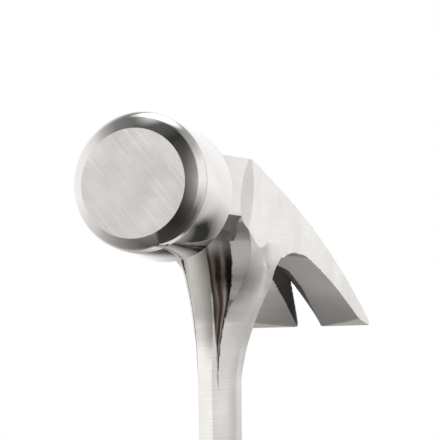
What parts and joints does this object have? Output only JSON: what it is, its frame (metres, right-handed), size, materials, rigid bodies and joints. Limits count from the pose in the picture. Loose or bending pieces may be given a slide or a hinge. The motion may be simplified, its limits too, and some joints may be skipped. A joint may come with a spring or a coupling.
{
  "type": "framing hammer",
  "caption": "Straight-claw framing hammer: polished one-piece steel head and shank with a round striking bell, a split ripping claw and a soft moulded grip.",
  "frame": {"origin": "on the handle axis at mid height of the moulded grip, where the hand holds it", "axes": "+Z along the handle toward the head, -X toward the striking face, +X toward the claw, Y across the head"},
  "size_m": [0.1533, 0.0392, 0.406],
  "materials": {
    "forged_steel": "ground and polished, satin on face and sides",
    "nylon_core": "moulded, matt",
    "vinyl_sleeve": "moulded soft vinyl, fine matt grain"
  },
  "bodies": {
    "root": {"forging": "forged_steel", "grip_core": "nylon_core", "grip_sleeve": "vinyl_sleeve"}
  },
  "joints": []
}
